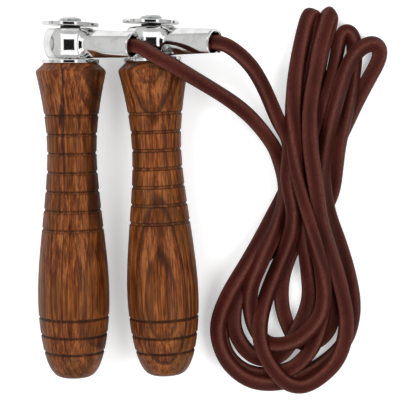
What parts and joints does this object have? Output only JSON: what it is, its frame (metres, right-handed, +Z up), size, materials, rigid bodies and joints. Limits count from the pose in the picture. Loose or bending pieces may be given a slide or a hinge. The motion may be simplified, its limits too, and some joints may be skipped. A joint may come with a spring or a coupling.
{
  "type": "jump rope",
  "caption": "Boxing jump rope with turned wooden handles on ball-bearing swivel eyes and a leather rope gathered in a loose hank.",
  "frame": {"origin": "on the ground under the middle of the box of the two handles with their swivels", "axes": "+Z up from the surface it lies on, +Y along the handles towards their swivels, +X towards the hank"},
  "size_m": [0.1664, 0.1873, 0.043],
  "materials": {
    "turned_wood": "semi-gloss varnished rosewood, dark streaks",
    "rope_leather": "smooth oxblood leather, slightly waxed",
    "chrome_plate": "polished chrome plate",
    "zinc_plate": "bright zinc plate",
    "bearing_steel": "ground bearing steel",
    "polished_steel": "polished balls",
    "cage_brass": "pressed brass",
    "black_steel": "blackened steel"
  },
  "bodies": {
    "rope_and_eyes": {"left_swivel_eye": "chrome_plate", "left_clamp_screw": "zinc_plate", "left_lower_outer_ring": "bearing_steel", "left_upper_outer_ring": "bearing_steel", "left_rope_lead": "rope_leather", "right_swivel_eye": "chrome_plate", "right_clamp_screw": "zinc_plate", "right_lower_outer_ring": "bearing_steel", "right_upper_outer_ring": "bearing_steel", "right_rope_lead": "rope_leather", "rope_hank": "rope_leather"},
    "left_grip": {"left_handle": "turned_wood", "left_lower_washer": "chrome_plate", "left_shim": "bearing_steel", "left_lower_inner_ring": "bearing_steel", "left_bearing_spacer": "bearing_steel", "left_upper_inner_ring": "bearing_steel", "left_collar": "black_steel", "left_upper_washer": "chrome_plate", "left_wood_screw": "zinc_plate"},
    "left_ball_sets": {"left_lower_balls": "polished_steel", "left_lower_cage": "cage_brass", "left_upper_balls": "polished_steel", "left_upper_cage": "cage_brass"},
    "right_grip": {"right_handle": "turned_wood", "right_lower_washer": "chrome_plate", "right_shim": "bearing_steel", "right_lower_inner_ring": "bearing_steel", "right_bearing_spacer": "bearing_steel", "right_upper_inner_ring": "bearing_steel", "right_collar": "black_steel", "right_upper_washer": "chrome_plate", "right_wood_screw": "zinc_plate"},
    "right_ball_sets": {"right_lower_balls": "polished_steel", "right_lower_cage": "cage_brass", "right_upper_balls": "polished_steel", "right_upper_cage": "cage_brass"}
  },
  "joints": [
    {"name": "left_grip_spin", "type": "hinge", "parent": "rope_and_eyes", "child": "left_grip", "pos_m": [-0.0272, 0.0637, 0.01705], "axis": [-0.0035, 1, 0], "continuous": true},
    {"name": "left_ball_orbit", "type": "hinge", "parent": "rope_and_eyes", "child": "left_ball_sets", "pos_m": [-0.0272, 0.0637, 0.01705], "axis": [-0.0035, 1, 0], "continuous": true},
    {"name": "right_grip_spin", "type": "hinge", "parent": "rope_and_eyes", "child": "right_grip", "pos_m": [0.0114, 0.0647, 0.01705], "axis": [-0.0401, 0.9992, 0], "continuous": true},
    {"name": "right_ball_orbit", "type": "hinge", "parent": "rope_and_eyes", "child": "right_ball_sets", "pos_m": [0.0114, 0.0647, 0.01705], "axis": [-0.0401, 0.9992, 0], "continuous": true}
  ],
  "couplings": [
    {"joint": "left_ball_orbit", "follows": "left_grip_spin", "ratio": 0.3667},
    {"joint": "right_ball_orbit", "follows": "right_grip_spin", "ratio": 0.3667}
  ]
}
